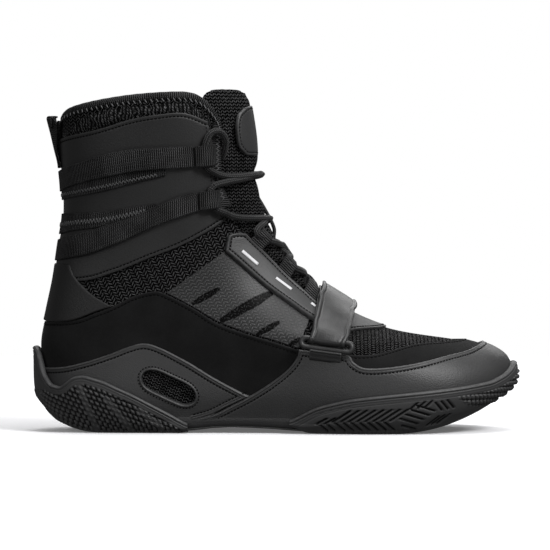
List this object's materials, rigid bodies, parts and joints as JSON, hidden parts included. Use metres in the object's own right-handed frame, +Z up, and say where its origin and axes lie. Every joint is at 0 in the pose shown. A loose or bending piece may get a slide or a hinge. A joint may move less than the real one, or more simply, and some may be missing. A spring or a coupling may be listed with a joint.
{
  "type": "boxing boot",
  "caption": "High lace-up boxing boot: knitted ankle shaft, webbing lace straps, leather and suede overlays, instep strap through a loop, split rubber outsole.",
  "frame": {"origin": "on the ground, under the centre of the boot's bounding box", "axes": "+X from heel to toe, +Y towards the medial (inner) side of the right foot, +Z up"},
  "size_m": [0.2949, 0.1111, 0.2087],
  "materials": {
    "outsole_rubber": "matt rubber with fine tread",
    "midsole_sheet": "firm foam sheet, matt",
    "board": "pressed fibre board",
    "foam": "open-cell foam",
    "stiffener": "thermoplastic stiffener sheet",
    "lining_mesh": "brushed lining mesh",
    "sockliner_fabric": "fabric-faced foam",
    "mesh_black": "open sandwich mesh",
    "knit_grey": "herringbone knit",
    "suede_black": "fine suede",
    "leather_grey": "smooth semi-matt leather",
    "film_grey": "embossed satin film",
    "reflective": "reflective film",
    "webbing_black": "woven webbing",
    "lace_black": "round braided lace",
    "hook_and_loop": "hook and loop tape",
    "loop_plastic": "moulded plastic"
  },
  "bodies": {
    "boot": {"heel_outsole": "outsole_rubber", "forefoot_outsole": "outsole_rubber", "midsole": "midsole_sheet", "insole_board": "board", "sockliner": "sockliner_fabric", "heel_counter": "stiffener", "toe_puff": "stiffener", "rear_lining": "lining_mesh", "vamp_lining": "lining_mesh", "collar_foam": "foam", "vamp_mesh": "mesh_black", "quarter_mesh_lateral": "knit_grey", "quarter_mesh_medial": "knit_grey", "cuff_knit": "knit_grey", "collar_binding": "webbing_black", "suede_panel": "suede_black", "ankle_leather": "leather_grey", "film_overlay_lateral": "film_grey", "film_overlay_medial": "film_grey", "vent_mesh_lateral": "mesh_black", "vent_mesh_medial": "mesh_black", "toe_suede": "suede_black", "vamp_gusset": "leather_grey", "heel_overlay": "leather_grey", "mudguard": "leather_grey", "heel_cap": "leather_grey", "eyestay_lateral": "leather_grey", "eyestay_medial": "leather_grey", "reflective_dashes": "reflective", "strap_backing_lower": "webbing_black", "strap_backing_upper": "webbing_black", "ankle_strap_lower": "webbing_black", "ankle_strap_upper": "webbing_black", "eyestay_loops": "webbing_black", "lace": "lace_black", "tongue": "knit_grey", "strap_loop": "loop_plastic", "loop_keeper": "leather_grey", "instep_strap": "leather_grey", "loop_patch": "hook_and_loop"},
    "strap_flap": {"strap_flap": "leather_grey", "hook_patch": "hook_and_loop"},
    "tongue_flap": {"tongue_flap": "knit_grey", "tongue_label": "leather_grey"},
    "pull_tab": {"pull_tab": "webbing_black"}
  },
  "joints": [
    {"name": "strap_flap_hinge", "type": "hinge", "parent": "boot", "child": "strap_flap", "pos_m": [0.03081, -0.05292, 0.05744], "axis": [0.9889, -0.0708, -0.1305], "range_deg": [0, 110]},
    {"name": "tongue_flap_hinge", "type": "hinge", "parent": "boot", "child": "tongue_flap", "pos_m": [-0.0114, 0.0007, 0.1636], "axis": [0, 1, 0], "range_deg": [0, 55], "stiffness_Nm_per_rad": 0.05},
    {"name": "pull_tab_hinge", "type": "hinge", "parent": "boot", "child": "pull_tab", "pos_m": [-0.13136, 0.0007, 0.1598], "axis": [0, -1, 0], "range_deg": [-4, 35], "stiffness_Nm_per_rad": 0.02}
  ]
}
